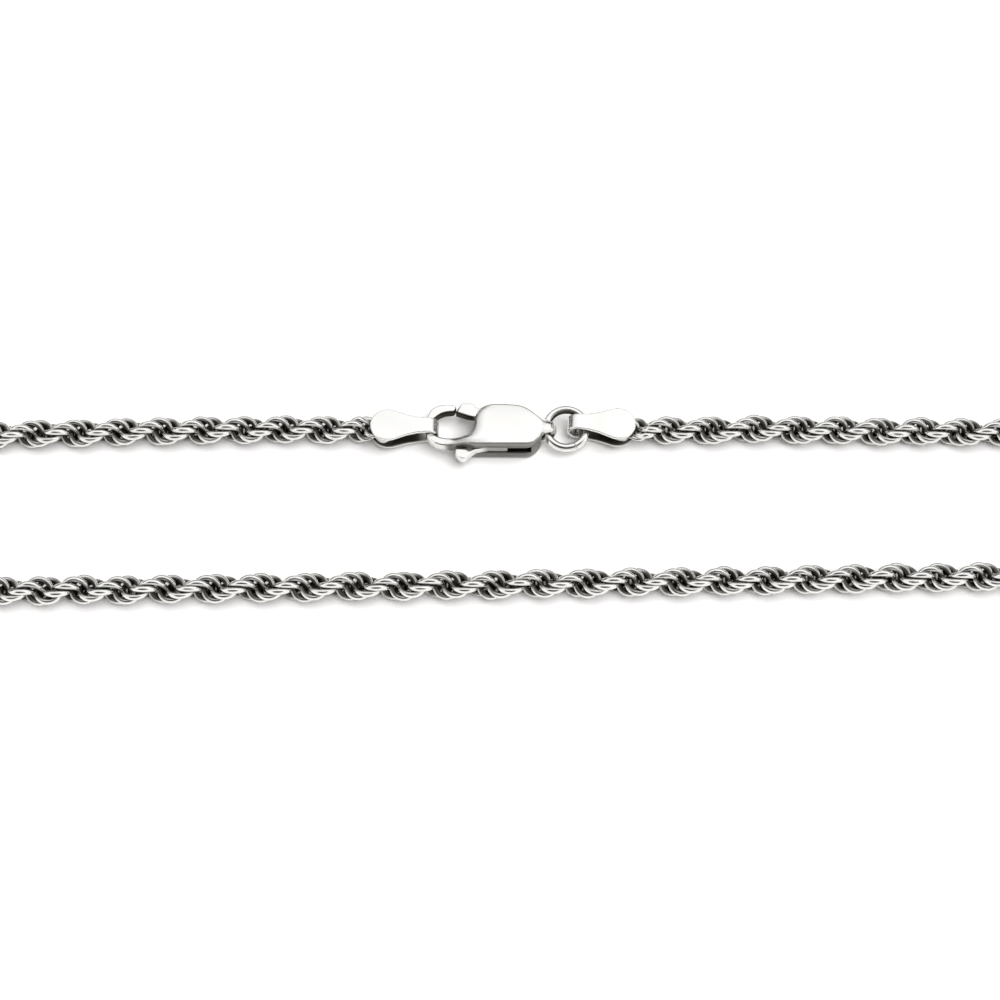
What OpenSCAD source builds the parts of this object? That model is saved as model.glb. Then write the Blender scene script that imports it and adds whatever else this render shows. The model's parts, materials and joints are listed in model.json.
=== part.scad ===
// Rope chain necklace, laid down closed: two near-parallel stretches of one loop.
// Millimetres. +X runs along the stretches, +Y from the plain stretch to the one with the clasp, +Z up.
// The origin is the middle of the loop's footprint, on the surface that it lies on.

/* [Chain] */
// Outer diameter of the rope chain
chain_d = 2.9; // [2.2:0.1:3.4]

/* [Clasp] */
// How far the clasp's middle lies towards +Y from the loop's middle
clasp_y = 8.1; // [6:0.1:12]
// Thickness of the clasp's body, from its underside to its top face
clasp_thick = 2.9; // [2.6:0.1:3.6]
// Width of the clasp's body
body_width = 4.6; // [4.2:0.05:5]
// Length of the clasp's body, without hook and tail
body_length = 6.6; // [6.2:0.1:7.6]
// Thickness of each of the body's two plates
plate_thick = 0.925; // [0.8:0.025:1.1]
// How far the hook reaches out from the body
hook_reach = 4.6; // [4.2:0.1:5.4]
// Width of the hook's arm where the end tag hangs
hook_arm_width = 0.65; // [0.6:0.05:0.85]
// Width of the hook's lower arm
lower_arm_width = 1.02; // [0.8:0.02:1.1]
// Width of the hook's opening, measured across the clasp
opening_width = 2.3; // [2.1:0.05:2.5]
// Outer radius of the tail's round end
tail_r = 0.9; // [0.8:0.05:1.2]
// Width of the tail
tail_width = 1.2; // [1:0.05:1.4]
// Radius of the hole through the tail
tail_hole_r = 0.66; // [0.6:0.01:0.68]

/* [Lever] */
// Thickness of the lever
lever_thick = 0.9; // [0.7:0.05:1]
// Radius of the lever's round hub
hub_r = 0.85; // [0.75:0.05:0.9]
// Radius of the pivot pin
pin_r = 0.35; // [0.25:0.05:0.45]
// How far the thumb tab stands out in front of the body
tab_reach = 1.15; // [0.9:0.05:1.4]

/* [End tags] */
// Length of an end tag, from its fold to its round end
tag_length = 6.6; // [6:0.1:8]
// Radius of an end tag's round end
tag_end_r = 1.7; // [1.55:0.05:2]
// Width of an end tag at its fold
tag_neck_width = 1.6; // [1.2:0.05:1.7]
// Width of an end tag at its waist, between the fold and the round end
tag_waist_width = 2.2; // [1.9:0.05:2.5]
// Thickness of an end tag's sheet metal
tag_sheet = 0.34; // [0.26:0.02:0.4]
// Depth of an end tag over both its leaves
tag_depth = 2.15; // [2.1:0.05:2.6]
// Turn of the right end tag in the plane of the loop, in degrees
right_tag_turn = -4; // [-6:0.5:6]

/* [Jump ring] */
// Outer diameter of the jump ring
ring_outer_d = 4.7; // [4.2:0.1:5]
// Diameter of the jump ring's wire
ring_wire_d = 0.8; // [0.5:0.02:0.84]
// Width of the cut between the ring's two ends
ring_cut = 0.08; // [0.05:0.01:0.15]
// Place of the cut round the ring, in degrees from +X
ring_cut_at = -65; // [-100:5:-45]
// Lean of the ring: its far side lies higher by this angle, in degrees
ring_lean = 10; // [0:1:12]

/* [Hidden] */
silver = [0.86, 0.85, 0.83];
bright_silver = [0.93, 0.92, 0.9];
round_fn = 48;
// Overlap of a cutting shape past the face that it cuts
cut_over = 0.5;
// Half of the clasp's thickness: the height at which hook, ring and tags lie
mid_z = clasp_thick / 2;

// Clearances
lever_side_gap = (clasp_thick - 2 * plate_thick - lever_thick) / 2;
lever_bore_gap = 0.05;
pin_seat_gap = 0.02;
gate_gap = 0.2;
tab_gap = 0.16;
web_gap = 0.2;
eye_gap = 0.065;
leaf_gap = 0.05;

// Clasp, in its own plane: x along it, y across it, both from the middle of its body
body_left = -2.6;
body_right = body_left + body_length;
body_half = body_width / 2;
// The hook's lower arm lies this far behind the body's front face
front_step = 0.235;
slot_low = plate_thick;
slot_high = clasp_thick - plate_thick;
hook_left = body_left - hook_reach;
arm_inner = hook_left + hook_arm_width;
lower_arm_front = front_step - body_half;
opening_front = lower_arm_front + lower_arm_width;
opening_back = opening_front + opening_width;
hook_back = opening_back + 1.1;
hook_corner_r = 1.35;
opening_corner_r = 0.5;
hook_tip_out = [body_left - 1.68, hook_back + 0.1];
hook_tip_in = [body_left - 1.92, opening_back + 0.3];
root_right = body_left + 0.45;
wall_thick = 0.52;
slot_right = body_right - 1;
body_round = 0.26;
tail_x = body_right + 0.57;

// Lever: its hub sits under the back edge of the plates, its tab comes out of the front
pivot = [body_left + 1.6, body_half - hub_r - 0.03];
tab_root = lower_arm_front - tab_gap;
tab_tip = -body_half - tab_reach;
web_left = root_right + web_gap;
web_right = pivot[0] + 1.75;
lever_front = 0.1 - body_half;
tab_left = hook_tip_out[0];
gate_top = [hook_tip_out[0] + 0.68, hook_tip_out[1] + 0.37];
pin_seat_depth = 0.5;
back_wall_left = pivot[0] + hub_r + 0.25;

// Jump ring: its wire lies in the tail's hole
ring_r = (ring_outer_d - ring_wire_d) / 2;
ring_in_hole = 0.12;
ring_x = tail_x - ring_in_hole + ring_r;
ring_y = 0.1;

// End tags: the centre of the fold and the line to the round end
fold_r = tag_depth / 2;
fold_inner_r = fold_r - tag_sheet;
hook_half_thick = (slot_high - slot_low) / 2;
left_fold_x = arm_inner - sqrt(pow(fold_inner_r - eye_gap, 2) - pow(hook_half_thick, 2));
ring_slack = 1.13;
right_fold_x = ring_x + ring_r - ring_wire_d / 2 - ring_slack + fold_inner_r;
right_fold_y = 0.4;
tag_reach = tag_length - fold_r;
// The waist's place, as a share of the way from the fold's centre to the round end
tag_waist_at = 0.35;
left_tag_end = [left_fold_x - tag_reach, clasp_y];
right_tag_end = [
    right_fold_x + tag_reach * cos(right_tag_turn),
    clasp_y + right_fold_y + tag_reach * sin(right_tag_turn)
];

// Route of the chain's middle line, round the loop from the left tag to the right one.
// The first and last three points follow the tags: they lie between a tag's leaves, at its round end,
// and where the chain has its full thickness. The others are chosen points.
chain_inset = 2.6;
chain_shoulder = 0.9;
left_along = [-1, 0];
right_along = [cos(right_tag_turn), sin(right_tag_turn)];
left_turn = arc([-113.84, -1.085], 8.385, 90, 270, 6);
right_turn = arc([114.225, 0], 8, -90, 90, 6);
chain_route = [
    left_tag_end - chain_inset * left_along, left_tag_end, left_tag_end + chain_shoulder * left_along,
    [-22, 8.1], [-36, 7.85], [-50, 7.5], [-64, 7.3], [-81, 7.2], [-98, 7.25], [-110, 7.3],
    each left_turn,
    [-110, -9.47], [-98, -9.45], [-81, -9.35], [-64, -9.2], [-44, -8.95], [-22, -8.65], [0, -8.3],
    [22, -7.95], [44, -7.55], [64, -7.55], [81, -7.7], [98, -7.9], [110, -8],
    each right_turn,
    [110, 8], [98, 8], [81, 7.95], [64, 7.9], [47, 7.85], [36, 7.95], [25, 8.15],
    right_tag_end + chain_shoulder * right_along, right_tag_end, right_tag_end - chain_inset * right_along
];
chain_z = chain_d / 2;
// Longest stretch of tube between two of its rings
ring_step = 8.6;
tube_sides = 8;
// Half height of the chain's pressed end, which lies between a tag's leaves
chain_end_r = fold_inner_r - leaf_gap;

function unit(v) = v / norm(v);
function last(list) = len(list) - 1;
function arc(centre, r, from, to, steps) = [
    for (i = [0:steps]) centre + r * [cos(from + (to - from) * i / steps), sin(from + (to - from) * i / steps)]
];

// Direction of the route at one of its points: it leans to the nearer neighbour
function heading(route, i) =
    i == 0 ? unit(route[1] - route[0]) :
    i == last(route) ? unit(route[i] - route[i - 1]) :
    let (before = route[i] - route[i - 1], after = route[i + 1] - route[i])
    unit(unit(before) * norm(after) + unit(after) * norm(before));

// Point and direction at the share t of the stretch between two route points
function on_stretch(route, i, t) =
    let (
        a = route[i],
        b = route[i + 1],
        size = norm(b - a),
        go_a = heading(route, i) * size,
        go_b = heading(route, i + 1) * size,
        place = (2 * t * t * t - 3 * t * t + 1) * a + (t * t * t - 2 * t * t + t) * go_a
            + (3 * t * t - 2 * t * t * t) * b + (t * t * t - t * t) * go_b,
        pace = (6 * t * t - 6 * t) * (a - b) + (3 * t * t - 4 * t + 1) * go_a + (3 * t * t - 2 * t) * go_b
    )
    [place, unit(pace)];

function stretch_rings(route, i) = max(1, ceil(norm(route[i + 1] - route[i]) / ring_step));
function tube_line(route) = [
    for (i = [0:last(route) - 1])
        for (k = [0:stretch_rings(route, i) - 1])
            on_stretch(route, i, k / stretch_rings(route, i)),
    on_stretch(route, last(route) - 1, 1)
];

// Half height of the tube at one of its rings: the two rings at each end are pressed flat for the tags
function ring_size(i, count) = i < 2 || i > count - 3 ? chain_end_r : chain_d / 2;

function tube_ring(place, direction, size) = [
    for (k = [0:tube_sides - 1])
        let (
            turn = (k + 0.5) * 360 / tube_sides,
            reach = size / cos(180 / tube_sides),
            side = [-direction[1], direction[0]]
        )
        [
            place[0] + side[0] * reach * cos(turn),
            place[1] + side[1] * reach * cos(turn),
            chain_z + reach * sin(turn)
        ]
];

module chain() {
    line = tube_line(chain_route);
    count = len(line);
    points = [for (i = [0:count - 1]) each tube_ring(line[i][0], line[i][1], ring_size(i, count))];
    sides = [
        for (i = [0:count - 2])
            for (k = [0:tube_sides - 1])
                let (a = i * tube_sides + k, b = i * tube_sides + (k + 1) % tube_sides)
                each [[a, a + tube_sides, b], [b, a + tube_sides, b + tube_sides]]
    ];
    start_cap = [for (k = [0:tube_sides - 1]) k];
    end_cap = [for (k = [tube_sides - 1:-1:0]) (count - 1) * tube_sides + k];
    color(silver) polyhedron(points, concat([start_cap, end_cap], sides), 10);
}

// Outline of a tag seen from above: fold at the origin, round end at +x
module tag_outline() {
    end_x = tag_reach - tag_end_r;
    neck = tag_neck_width / 2;
    waist = [tag_waist_at * tag_reach, tag_waist_width / 2];
    // The straight edges run from the waist to where they touch the round end
    apart = [end_x - waist[0], waist[1]];
    touch = 180 - atan(apart[1] / apart[0]) - acos(tag_end_r / norm(apart));
    edge = [end_x + tag_end_r * cos(touch), tag_end_r * sin(touch)];
    flank = [[-fold_r, neck], [0, neck], waist, edge];
    translate([end_x, 0]) circle(r = tag_end_r, $fn = round_fn);
    polygon(concat(
        [for (point = flank) [point[0], -point[1]]],
        [[end_x, 0]],
        [for (i = [last(flank):-1:0]) flank[i]]
    ));
}

// Edge of the folded sheet seen from the side
module tag_fold() {
    difference() {
        union() {
            circle(r = fold_r, $fn = round_fn);
            translate([0, -fold_r]) square([tag_reach, tag_depth]);
        }
        circle(r = fold_inner_r, $fn = round_fn);
        translate([0, -fold_inner_r]) square([tag_reach + cut_over, 2 * fold_inner_r]);
    }
}

module end_tag() {
    intersection() {
        translate([0, 0, -fold_r]) linear_extrude(tag_depth) tag_outline();
        translate([0, tag_end_r + cut_over, 0])
            rotate([90, 0, 0])
                linear_extrude(2 * (tag_end_r + cut_over)) tag_fold();
    }
}

module end_tag_left() {
    color(bright_silver)
        translate([left_fold_x, clasp_y, mid_z])
            rotate([0, 0, 180]) end_tag();
}

module end_tag_right() {
    color(bright_silver)
        translate([right_fold_x, clasp_y + right_fold_y, mid_z])
            rotate([0, 0, right_tag_turn]) end_tag();
}

module jump_ring() {
    cut_turn = ring_cut / ring_r * 180 / PI;
    color(silver)
        translate([ring_x, clasp_y + ring_y, mid_z])
            rotate([ring_lean, 0, 0])
                rotate([0, 0, ring_cut_at + cut_turn / 2])
                    rotate_extrude(angle = 360 - cut_turn, $fn = 2 * round_fn)
                        translate([ring_r, 0]) circle(r = ring_wire_d / 2, $fn = round_fn);
}

// Outline of the clasp's body seen from above, drawn in by inset
module body_outline(inset) {
    offset(delta = -inset)
        polygon(concat(
            [[body_left - 0.35, -body_half], [body_right - 1.8, -body_half]],
            arc([body_right - 1.8, -body_half + 1.5], 1.5, -70, -45, 3),
            [[body_right, -0.6], [body_right, 0.6]],
            arc([body_right - 2, body_half - 1.5], 1.5, 45, 90, 3),
            arc([body_left + 1.05, body_half - 0.75], 0.75, 90, 165, 4),
            [[body_left + 0.2, 0], [body_left, -0.65], [body_left - 0.35, -1.3]]
        ));
}

module body_shell() {
    levels = [[0, body_round], [0.3 * body_round, 0.45 * body_round], [body_round, 0]];
    hull() {
        for (level = levels) {
            translate([0, 0, level[0]]) linear_extrude(0.01) body_outline(level[1]);
            translate([0, 0, clasp_thick - level[0] - 0.01]) linear_extrude(0.01) body_outline(level[1]);
        }
    }
}

// Space of the lever inside the body: open to the front, the left and the back corner
module lever_slot() {
    translate([0, 0, slot_low])
        linear_extrude(slot_high - slot_low)
            polygon([
                [body_left - cut_over, -body_half - cut_over],
                [slot_right, -body_half - cut_over],
                [slot_right, body_half - wall_thick],
                [back_wall_left, body_half - wall_thick],
                [back_wall_left, body_half + cut_over],
                [body_left - cut_over, body_half + cut_over],
                [body_left - cut_over, opening_front],
                [root_right, opening_front],
                [root_right, lower_arm_front],
                [body_left - cut_over, lower_arm_front]
            ]);
}

module hook() {
    translate([0, 0, slot_low])
        linear_extrude(slot_high - slot_low)
            polygon(concat(
                [hook_tip_in, hook_tip_out],
                arc([hook_left + hook_corner_r, hook_back - hook_corner_r], hook_corner_r, 90, 180, 8),
                arc([hook_left + hook_corner_r, lower_arm_front + hook_corner_r], hook_corner_r, 180, 270, 8),
                [[root_right, lower_arm_front], [root_right, opening_front]],
                arc([arm_inner + opening_corner_r, opening_front + opening_corner_r], opening_corner_r, 270, 180, 5),
                arc([arm_inner + opening_corner_r, opening_back - opening_corner_r], opening_corner_r, 180, 90, 5)
            ));
}

module tail() {
    translate([tail_x, tail_width / 2, mid_z])
        rotate([90, 0, 0]) cylinder(r = tail_r, h = tail_width, $fn = round_fn);
    translate([body_right - 0.4, -tail_width / 2, mid_z - tail_r])
        cube([tail_x - body_right + 0.4, tail_width, 2 * tail_r]);
}

module clasp_body() {
    color(bright_silver)
        translate([0, clasp_y, 0])
            difference() {
                union() {
                    difference() {
                        body_shell();
                        lever_slot();
                    }
                    hook();
                    tail();
                }
                translate([tail_x, body_half, mid_z])
                    rotate([90, 0, 0]) cylinder(r = tail_hole_r, h = body_width, $fn = round_fn);
                translate([pivot[0], pivot[1], slot_low - pin_seat_depth])
                    cylinder(r = pin_r + pin_seat_gap, h = slot_high - slot_low + 2 * pin_seat_depth, $fn = round_fn);
            }
}

// Plan of the lever: gate to the left, web down through the body, thumb tab in front
module lever_outline() {
    translate(pivot) circle(r = hub_r, $fn = round_fn);
    polygon([
        gate_top,
        [hook_tip_in[0] + gate_gap, hook_tip_in[1] + 0.1],
        [body_left - 0.6, opening_back + 0.03],
        [pivot[0] - 0.85, pivot[1] - 0.35],
        [pivot[0] - 0.55, 0],
        [web_left + 0.3, -1.2],
        [web_left, tab_root],
        [tab_left, tab_root - 0.1],
        [tab_left + 0.55, tab_tip + 0.1],
        [tab_left + 0.75, tab_tip],
        [tab_left + 0.95, tab_tip + 0.1],
        [root_right - 0.2, -body_half - 0.28],
        [web_left + 0.4, -body_half - 0.12],
        [web_left + 0.8, lever_front],
        [web_right, lever_front],
        [web_right - 0.1, -1.4],
        [pivot[0] + hub_r, pivot[1] - 0.4],
        pivot,
        [pivot[0] - 0.3, pivot[1] + hub_r - 0.06],
        [body_left + 0.3, body_half - 0.05],
        [body_left + 0.1, gate_top[1] - 0.1]
    ]);
}

module clasp_lever() {
    color(bright_silver)
        translate([0, clasp_y, mid_z - lever_thick / 2])
            difference() {
                linear_extrude(lever_thick) lever_outline();
                translate([pivot[0], pivot[1], -cut_over])
                    cylinder(r = pin_r + lever_bore_gap, h = lever_thick + 2 * cut_over, $fn = round_fn);
            }
}

module lever_pin() {
    color(silver)
        translate([pivot[0], clasp_y + pivot[1], slot_low - pin_seat_depth + pin_seat_gap])
            cylinder(r = pin_r, h = slot_high - slot_low + 2 * pin_seat_depth - 2 * pin_seat_gap, $fn = round_fn);
}

chain();
end_tag_left();
end_tag_right();
jump_ring();
clasp_body();
clasp_lever();
lever_pin();
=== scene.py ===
"""Looks of the rope chain necklace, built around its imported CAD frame.

Sizes are in millimetres, in the frame of the CAD, and turn into metres where a mesh is made.
The clasp and the tags are cast and pressed metal: each is the skin of a distance field, so that
its edges and inside corners come out rounded. The chain is made of separate rings that pass
through each other.
"""

import json
import math

import bpy
import numpy as np
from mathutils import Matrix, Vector

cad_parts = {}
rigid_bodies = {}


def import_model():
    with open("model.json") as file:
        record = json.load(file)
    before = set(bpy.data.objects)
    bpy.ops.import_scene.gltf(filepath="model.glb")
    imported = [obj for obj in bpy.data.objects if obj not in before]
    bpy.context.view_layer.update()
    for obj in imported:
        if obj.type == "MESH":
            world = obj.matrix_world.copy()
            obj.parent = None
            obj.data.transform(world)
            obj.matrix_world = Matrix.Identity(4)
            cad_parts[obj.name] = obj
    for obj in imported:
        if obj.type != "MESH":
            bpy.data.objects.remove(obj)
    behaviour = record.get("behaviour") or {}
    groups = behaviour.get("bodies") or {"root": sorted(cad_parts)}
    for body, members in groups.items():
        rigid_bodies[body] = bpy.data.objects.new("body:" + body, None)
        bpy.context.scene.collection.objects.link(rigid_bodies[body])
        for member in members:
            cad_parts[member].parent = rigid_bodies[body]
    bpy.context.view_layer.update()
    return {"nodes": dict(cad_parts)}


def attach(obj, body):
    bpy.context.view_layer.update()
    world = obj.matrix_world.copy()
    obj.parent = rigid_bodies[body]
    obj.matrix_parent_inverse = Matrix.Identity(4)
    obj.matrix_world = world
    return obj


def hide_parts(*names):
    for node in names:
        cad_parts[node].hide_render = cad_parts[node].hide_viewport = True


MM = 0.001
SEED = 7
# About a whole turn in radians, for the random starts of waves
FULL_TURN = 6.28

# Sizes that the CAD source has too. The clasp's are in its own plane: x along it and y across it,
# both from the middle of its body
CHAIN_D = 2.9
CLASP_Y = 8.1
CLASP_THICK = 2.9
MID_Z = CLASP_THICK / 2
SLOT_LOW = 0.925
SLOT_HIGH = CLASP_THICK - SLOT_LOW
SLOT_HALF = (SLOT_HIGH - SLOT_LOW) / 2
HOOK_HALF = 0.525
BODY_LEFT = -2.6
BODY_RIGHT = 4.0
BODY_HALF = 2.3
HOOK_LEFT = -7.2
ARM_INNER = -6.55
LOWER_ARM_FRONT = -2.065
OPENING_FRONT = -1.045
ROOT_RIGHT = -2.15
SLOT_RIGHT = 3.0
WALL_THICK = 0.52
TAIL_X = 4.57
TAIL_R = 0.9
TAIL_HALF = 0.6
TAIL_HOLE_R = 0.66
PIVOT = (-1.0, 1.42)
PIN_HOLE_R = 0.37
PIN_HOLE_DEPTH = 0.5
LEVER_THICK = 0.9
LEVER_BORE_R = 0.4
HUB_R = 0.85
TAB_ROOT = -2.225
TAB_TIP = -3.45
TAG_REACH = 5.525
TAG_END_R = 1.7
TAG_NECK_HALF = 0.8
TAG_WAIST_HALF = 1.1
TAG_WAIST_AT = 0.35
TAG_SHEET = 0.34
FOLD_R = 1.075
LEFT_FOLD = (-6.966, CLASP_Y)
RIGHT_FOLD = (7.555, CLASP_Y + 0.4)
RIGHT_TAG_TURN = -4.0
JUMP_RING_MIDDLE = (6.4, CLASP_Y + 0.1)
JUMP_RING_R = 1.95
# From a tag's round end back to where the chain ends, and on to where it is whole
CHAIN_END_BACK = 2.6
CHAIN_WHOLE_AT = 0.9

# How far a tag's lower leaf rises to its round end
TAG_CLOSE = 0.38

# The photograph's view
VIEW_ELEVATION = 62.7
VIEW_DISTANCE = 165.8
VIEW_LENS = 62.5
VIEW_TARGET = (0.0, 1.2, 0.0)


# Route of the chain's middle line, the same points and curve as in the CAD source

def arc(centre, radius, start, end, steps):
    turns = [math.radians(start + (end - start) * i / steps) for i in range(steps + 1)]
    return [(centre[0] + radius * math.cos(t), centre[1] + radius * math.sin(t)) for t in turns]


def tag_end_points(fold, turn):
    """End of the chain between a tag's leaves, the tag's round end, and where the chain is whole."""
    along = np.array([math.cos(math.radians(turn)), math.sin(math.radians(turn))])
    end = np.array(fold) + TAG_REACH * along
    return [end - CHAIN_END_BACK * along, end, end + CHAIN_WHOLE_AT * along]


def chain_route():
    left = tag_end_points(LEFT_FOLD, 180)
    right = tag_end_points(RIGHT_FOLD, RIGHT_TAG_TURN)
    points = left
    points += [(-22, 8.1), (-36, 7.85), (-50, 7.5), (-64, 7.3), (-81, 7.2), (-98, 7.25), (-110, 7.3)]
    points += arc((-113.84, -1.085), 8.385, 90, 270, 6)
    points += [(-110, -9.47), (-98, -9.45), (-81, -9.35), (-64, -9.2), (-44, -8.95), (-22, -8.65)]
    points += [(0, -8.3), (22, -7.95), (44, -7.55), (64, -7.55), (81, -7.7), (98, -7.9), (110, -8)]
    points += arc((114.225, 0), 8, -90, 90, 6)
    points += [(110, 8), (98, 8), (81, 7.95), (64, 7.9), (47, 7.85), (36, 7.95), (25, 8.15)]
    points += right[::-1]
    return np.array(points, dtype=float)


def unit(v):
    return v / np.linalg.norm(v, axis=-1, keepdims=True)


def route_line(points, steps=40):
    """Fine polyline along the route, and its length up to each of its points."""
    chords = np.diff(points, axis=0)
    sizes = np.linalg.norm(chords, axis=1)
    headings = unit(chords)
    lean = headings[:-1] * sizes[1:, None] + headings[1:] * sizes[:-1, None]
    go = np.vstack([headings[:1], unit(lean), headings[-1:]])
    t = np.linspace(0, 1, steps, endpoint=False)[:, None]
    line = []
    for a, b, go_a, go_b, size in zip(points, points[1:], go, go[1:], sizes):
        line.append((2 * t**3 - 3 * t**2 + 1) * a + (t**3 - 2 * t**2 + t) * go_a * size
                    + (3 * t**2 - 2 * t**3) * b + (t**3 - t**2) * go_b * size)
    line = np.vstack(line + [points[-1:]])
    run = np.concatenate([[0], np.cumsum(np.linalg.norm(np.diff(line, axis=0), axis=1))])
    return line, run


# Meshes

def new_object(name, points, faces, smooth=True):
    """Object from points in millimetres and an array of quads."""
    mesh = bpy.data.meshes.new(name)
    faces = np.asarray(faces, dtype=np.int32)
    mesh.vertices.add(len(points))
    mesh.vertices.foreach_set("co", (np.asarray(points) * MM).astype(np.float32).ravel())
    mesh.loops.add(faces.size)
    mesh.loops.foreach_set("vertex_index", faces.ravel())
    mesh.polygons.add(len(faces))
    mesh.polygons.foreach_set("loop_start", np.arange(0, faces.size, faces.shape[1], dtype=np.int32))
    mesh.polygons.foreach_set("use_smooth", np.full(len(faces), smooth))
    mesh.update(calc_edges=True)
    mesh.validate()
    obj = bpy.data.objects.new(name, mesh)
    bpy.context.scene.collection.objects.link(obj)
    return obj


def add_values(obj, name, values):
    layer = obj.data.attributes.new(name, "FLOAT", "POINT")
    layer.data.foreach_set("value", np.asarray(values, dtype=np.float32))


def skin(field, low, step):
    """Points and quads of the zero surface of a field that is negative inside, one point a cell."""
    inside = field < 0
    corners = [(i, j, k) for i in (0, 1) for j in (0, 1) for k in (0, 1)]
    cells = tuple(n - 1 for n in field.shape)
    held = np.zeros(cells, dtype=np.int8)
    for i, j, k in corners:
        held += inside[i:i + cells[0], j:j + cells[1], k:k + cells[2]]
    at = np.argwhere((held > 0) & (held < 8))
    index = np.full(cells, -1, dtype=np.int32)
    index[tuple(at.T)] = np.arange(len(at))
    total = np.zeros((len(at), 3))
    hits = np.zeros(len(at))
    for axis in range(3):
        ahead = np.eye(3, dtype=int)[axis]
        for corner in corners:
            if corner[axis]:
                continue
            a = field[tuple((at + corner).T)]
            b = field[tuple((at + corner + ahead).T)]
            cut = (a < 0) != (b < 0)
            share = np.where(cut, a / np.where(cut, a - b, 1), 0)
            total += np.where(cut[:, None], np.array(corner) + share[:, None] * ahead, 0)
            hits += cut
    points = (at + total / hits[:, None]) * step + low
    quads = []
    for axis in range(3):
        u, v = np.eye(3, dtype=int)[(axis + 1) % 3], np.eye(3, dtype=int)[(axis + 2) % 3]
        near = np.moveaxis(inside, axis, 0)
        edges = np.argwhere(near[:-1] != near[1:])
        spots = np.zeros((len(edges), 3), dtype=int)
        others = [n for n in range(3) if n != axis]
        spots[:, axis] = edges[:, 0]
        spots[:, others] = edges[:, 1:]
        ring = [index[tuple((spots - a * u - b * v).T)] for a, b in ((0, 0), (1, 0), (1, 1), (0, 1))]
        ring = np.stack(ring, axis=1)
        solid_first = inside[tuple(spots.T)]
        ring[~solid_first] = ring[~solid_first][:, ::-1]
        quads.append(ring)
    quads = np.vstack(quads)
    return relax(points, quads), quads


def relax(points, quads, times=3):
    """Evens out the small steps that the grid leaves, without shrinking the form."""
    pairs = np.vstack([quads[:, [i, (i + 1) % 4]] for i in range(4)])
    count = np.bincount(pairs[:, 0], minlength=len(points))[:, None]
    for _ in range(times):
        for share in (0.5, -0.52):
            total = np.zeros_like(points)
            for axis in range(3):
                total[:, axis] = np.bincount(pairs[:, 0], points[pairs[:, 1], axis], len(points))
            points = points + share * (total / count - points)
    return points


def grid(low, high, step):
    return [np.arange(a, b + step, step) for a, b in zip(low, high)]


def outline_distance(x, y, corners):
    """Signed distance to a closed outline, negative inside."""
    nearest = np.full(np.broadcast(x, y).shape, np.inf)
    inside = np.zeros(nearest.shape, dtype=bool)
    for (x0, y0), (x1, y1) in zip(corners, corners[1:] + corners[:1]):
        ex, ey = x1 - x0, y1 - y0
        share = np.clip(((x - x0) * ex + (y - y0) * ey) / (ex * ex + ey * ey + 1e-12), 0, 1)
        nearest = np.minimum(nearest, (x - x0 - share * ex)**2 + (y - y0 - share * ey)**2)
        if ey:
            inside ^= ((y0 <= y) != (y1 <= y)) & (x < x0 + (y - y0) * ex / ey)
    return np.where(inside, -1, 1) * np.sqrt(nearest)


def soften(plan, times):
    """Rounds the corners of an outline's distance field."""
    for _ in range(times):
        for axis in (0, 1):
            edge = np.pad(plan, [(1, 1) if a == axis else (0, 0) for a in (0, 1)], mode="edge")
            before = np.take(edge, range(plan.shape[axis]), axis)
            after = np.take(edge, range(2, plan.shape[axis] + 2), axis)
            plan = plan / 2 + (before + after) / 4
    return plan


def melt(a, b, reach):
    """Union of two fields, with a fillet where they meet."""
    near = np.maximum(reach - np.abs(a - b), 0) / reach
    return np.minimum(a, b) - near * near * reach / 4


def trim(a, b, reach):
    """What both fields hold, with a rounded edge where they meet."""
    return -melt(-a, -b, reach)


def slab(plan, height, edge):
    """Outline extruded: height is the distance past its upper or lower face."""
    across, up = np.broadcast_arrays(plan[:, :, None] + edge, height + edge)
    outside = np.hypot(np.maximum(across, 0), np.maximum(up, 0))
    return np.minimum(np.maximum(across, up), 0) + outside - edge


def smoothstep(low, high, value):
    t = np.clip((value - low) / (high - low), 0, 1)
    return t * t * (3 - 2 * t)


def unevenness(x, y, z, size, seed):
    """Slow waves of a cast or hand-finished surface, at most as high as size."""
    rng = np.random.default_rng(seed)
    waves = 0
    for _ in range(5):
        way = rng.normal(size=3)
        way *= rng.uniform(0.6, 1.6) / np.linalg.norm(way)
        waves = waves + np.sin(x * way[0] + y * way[1] + z * way[2] + rng.uniform(0, FULL_TURN))
    return size * waves / 5


# Chain

RING_R = 1.115
# Half thickness of a ring's wire, in the ring's plane and across it
WIRE_R = 0.275
WIRE_SIDE_R = 0.29
RING_SEGMENTS = 32
WIRE_SEGMENTS = 12
# Place of a ring's middle: outwards and to its side
RING_OUT = 0.03
RING_ASIDE = 0.03
# Distance between rings along the chain, and turn of one against the one before it
RING_STEP = 0.79
RING_TURN = 35.2
# Spread of the small differences between rings: turn in degrees, lean, size and place
SPREAD_TURN = 1.5
SPREAD_LEAN = 0.02
SPREAD_SIZE = 0.02
SPREAD_ALONG = 0.02
SPREAD_OUT = 0.015
SPREAD_ASIDE = 0.03
# Height and width of the chain where it is pressed flat in a tag, as shares of the whole chain's
PRESSED_HEIGHT = 0.36
PRESSED_WIDTH = 0.8
# Rings whose wire would run closer than this to an end of the route are left out
END_CLEAR = 0.3
# Half of the stretch over which the chain's direction is taken
HEADING_REACH = 0.4

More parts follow.
